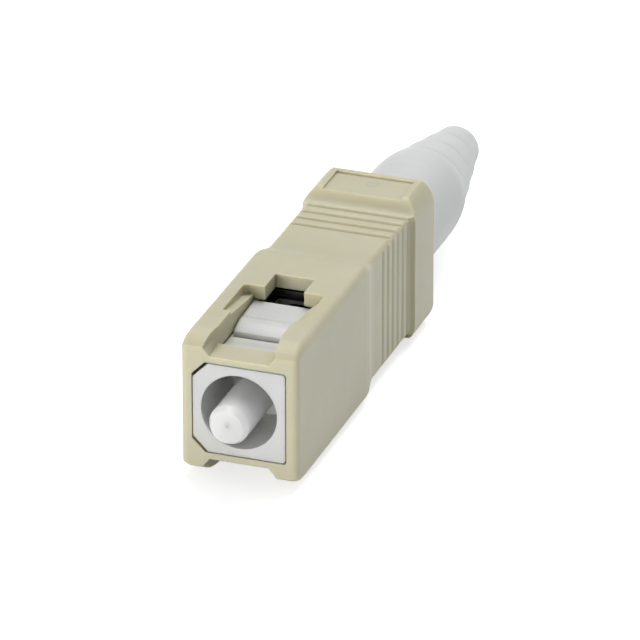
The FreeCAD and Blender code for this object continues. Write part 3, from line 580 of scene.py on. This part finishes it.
# %% [markdown]
# ## The ejector's mark: its place
# The mark stands in the sunk panel at the rear of the housing, so its place is
# worked out from the housing's own box. It is less than two hundredths of a
# millimetre tall, and it slides with the housing.

# %% Ejector mark in the rear panel
MARK_RADIUS, MARK_WIRE = 0.38 * MM, 0.035 * MM
MARK_ASIDE, MARK_FROM_REAR = 0.1 * MM, 1.25 * MM
PANEL_DEPTH = 0.15 * MM

housing_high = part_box("outer_housing")[1]
mark = bpy.data.objects.new("ejector_mark", ring_mesh("ejector_mark", MARK_RADIUS, MARK_WIRE))
bpy.context.scene.collection.objects.link(mark)
mark.location = (MARK_ASIDE, housing_high.y - MARK_FROM_REAR, housing_high.z - PANEL_DEPTH)
mark.data.materials.append(thin_beige)
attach(mark, "housing")
print("ejector mark at", [round(value / MM, 2) for value in mark.location])

# %% [markdown]
# ## The table
# A wide white disc lies just under the plug. More light would also turn it white,
# but it would bleach the plug too. So the disc glows only to the camera and in
# reflections, and it still takes the plug's shadow.

# %% Floor
FLOOR_RADIUS = 3.0
FLOOR_GAP = 0.02 * MM
FLOOR_GLOW = 0.65


def make_floor():
    mesh = bpy.data.meshes.new("floor")
    shape = bmesh.new()
    bmesh.ops.create_circle(shape, cap_ends=True, segments=96, radius=FLOOR_RADIUS)
    shape.to_mesh(mesh)
    shape.free()
    floor = bpy.data.objects.new("floor", mesh)
    bpy.context.scene.collection.objects.link(floor)
    floor.location = (0, 0, cad_box[0][2] - FLOOR_GAP)
    material = bpy.data.materials.new("floor_paper")
    material.use_nodes = True
    tree = material.node_tree
    tree.nodes.clear()
    result = add(tree, "OutputMaterial")
    paper = add(tree, "BsdfDiffuse", {"Color": (0.8, 0.8, 0.8, 1)})
    glow = add(tree, "Emission", {"Color": (1, 1, 1, 1)})
    both = add(tree, "AddShader")
    path = add(tree, "LightPath")
    seen = maths(tree, "MAXIMUM", path.outputs["Is Camera Ray"], path.outputs["Is Glossy Ray"])
    seen = maths(tree, "MAXIMUM", seen, path.outputs["Is Transmission Ray"])
    tree.links.new(maths(tree, "MULTIPLY", seen, FLOOR_GLOW), glow.inputs["Strength"])
    tree.links.new(paper.outputs[0], both.inputs[0])
    tree.links.new(glow.outputs[0], both.inputs[1])
    tree.links.new(both.outputs[0], result.inputs["Surface"])
    mesh.materials.append(material)
    return floor


floor = make_floor()
print("floor at z =", round(floor.location.z / MM, 2), "mm")

# %% [markdown]
# ## The light tent
# A small product is best in a light tent: an even, slightly cool glow from all
# round, which fills the shadows. The camera itself sees a plain white page in its
# place, and the Light Path node tells the two apart. Reflections still see the
# tent.

# %% World
TENT_COLOUR, TENT_STRENGTH = (0.90, 0.96, 1.0, 1), 0.27


def make_world():
    world = bpy.data.worlds.new("tent")
    bpy.context.scene.world = world
    world.use_nodes = True
    tree = world.node_tree
    tree.nodes.clear()
    result = add(tree, "OutputWorld")
    tent = add(tree, "Background", {"Color": TENT_COLOUR, "Strength": TENT_STRENGTH})
    page = add(tree, "Background", {"Color": (1, 1, 1, 1), "Strength": 1.0})
    path = add(tree, "LightPath")
    pick = add(tree, "MixShader")
    tree.links.new(path.outputs["Is Camera Ray"], pick.inputs[0])
    tree.links.new(tent.outputs[0], pick.inputs[1])
    tree.links.new(page.outputs[0], pick.inputs[2])
    tree.links.new(pick.outputs[0], result.inputs["Surface"])


make_world()
print("tent strength:", TENT_STRENGTH)

# %% [markdown]
# ## Lamps
# In the tent alone all faces would look alike. One soft lamp above and behind,
# and one in front and a little to the left, tell them apart. Their power is set
# so that a lit surface shows its colour about as written.

# %% Lamps
LAMP_DISTANCE = 0.5
LAMP_COLOUR = (1.0, 0.985, 0.95)


def add_lamp(name, toward, size, watts):
    """A square soft lamp in the given direction from the plug's middle."""
    lamp = bpy.data.lights.new(name, "AREA")
    lamp.size = size
    lamp.energy = watts
    lamp.color = LAMP_COLOUR
    holder = bpy.data.objects.new(name, lamp)
    bpy.context.scene.collection.objects.link(holder)
    middle = (Vector(cad_box[0]) + Vector(cad_box[1])) / 2
    direction = Vector(toward).normalized()
    holder.location = middle + direction * LAMP_DISTANCE
    holder.rotation_mode = "QUATERNION"
    holder.rotation_quaternion = direction.to_track_quat("Z", "Y")
    print(f"{name}: {watts} W at {LAMP_DISTANCE} m")


add_lamp("top_lamp", toward=(0.0, 0.42, 0.91), size=0.35, watts=1.95)
add_lamp("front_lamp", toward=(-0.30, -0.95, 0.0), size=0.30, watts=2.9)

# %% [markdown]
# ## Camera
# The portrait looks at the nose from the front, a little to the right and from
# above, with a long lens from less than half a metre away, so that the depth is
# gentle. The camera is placed by its two angles round a point on the axis, and
# then aimed a little beside that point to frame the plug.

# %% Camera
AZIMUTH, ELEVATION = math.radians(19.4), math.radians(25.5)
DISTANCE = 420 * MM
LENS, SENSOR = 385.0, 36.0
PIVOT_BACK = 18 * MM
ASIDE, BELOW = -1.23 * MM, -1.88 * MM

back = Vector((math.sin(AZIMUTH) * math.cos(ELEVATION),
               -math.cos(AZIMUTH) * math.cos(ELEVATION), math.sin(ELEVATION)))
right = Vector((math.cos(AZIMUTH), math.sin(AZIMUTH), 0))
up = back.cross(right)
pivot = Vector((0, PIVOT_BACK, 0))
stand = pivot + back * DISTANCE
aim = pivot + right * ASIDE + up * BELOW
lens = bpy.data.cameras.new("portrait")
lens.lens = LENS
lens.sensor_width = SENSOR
camera = bpy.data.objects.new("portrait", lens)
bpy.context.scene.collection.objects.link(camera)
camera.location = stand
camera.rotation_mode = "QUATERNION"
camera.rotation_quaternion = (stand - aim).to_track_quat("Z", "Y")
bpy.context.scene.camera = camera
bpy.context.scene.view_settings.view_transform = "Standard"
print("camera at", [round(value, 3) for value in stand])
